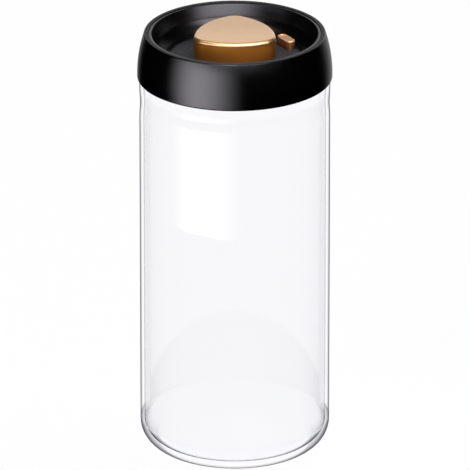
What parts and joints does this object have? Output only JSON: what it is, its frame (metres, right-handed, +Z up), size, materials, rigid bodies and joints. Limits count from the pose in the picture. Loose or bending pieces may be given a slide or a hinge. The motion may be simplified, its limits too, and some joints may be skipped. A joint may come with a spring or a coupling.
{
  "type": "vacuum storage canister",
  "caption": "Tall clear glass canister with a black dished lid that holds a push-button vacuum pump and an air release button.",
  "frame": {"origin": "centre of the base ring that the jar stands on, at the surface it rests on", "axes": "+Z up along the jar's axis, the viewer looks along +Y, the release button lies to the +X and +Y side"},
  "size_m": [0.1096, 0.1096, 0.2489],
  "materials": {
    "clear_glass": "clear, polished",
    "black_plastic": "satin moulded black",
    "white_plastic": "natural moulded",
    "gold_finish": "satin bronze gold lacquer",
    "silicone": "translucent grey silicone",
    "steel": "bright"
  },
  "bodies": {
    "jar": {"glass_jar": "clear_glass"},
    "lid": {"lid_shell": "black_plastic", "lid_dish": "black_plastic", "seal_carrier": "black_plastic", "lid_seal": "silicone", "carrier_screws": "steel", "screw_washers": "silicone", "pump_housing": "black_plastic", "housing_o_ring": "silicone", "housing_screws": "steel", "cylinder_cap": "white_plastic", "intake_valve": "silicone", "crumb_guard": "white_plastic", "pump_spring": "steel", "release_spring": "steel"},
    "plunger": {"pump_button": "gold_finish", "piston_rod": "white_plastic", "button_screw": "steel", "piston_head": "white_plastic", "piston_clip": "steel", "piston_cup_seal": "silicone", "exhaust_flap": "silicone"},
    "release": {"release_button": "gold_finish", "release_stem": "steel", "release_seal": "silicone", "stem_clip": "steel"}
  },
  "joints": [
    {"name": "lid_lift", "type": "slide", "parent": "jar", "child": "lid", "axis": [0, 0, 1], "range_m": [0, 0.06]},
    {"name": "pump_press", "type": "slide", "parent": "lid", "child": "plunger", "axis": [0, 0, -1], "range_m": [0, 0.01], "stiffness_N_per_m": 800, "springref_m": -0.004, "deforming": ["pump_spring"]},
    {"name": "release_press", "type": "slide", "parent": "lid", "child": "release", "axis": [0, 0, -1], "range_m": [0, 0.002], "stiffness_N_per_m": 500, "springref_m": -0.002, "deforming": ["release_spring"]}
  ]
}
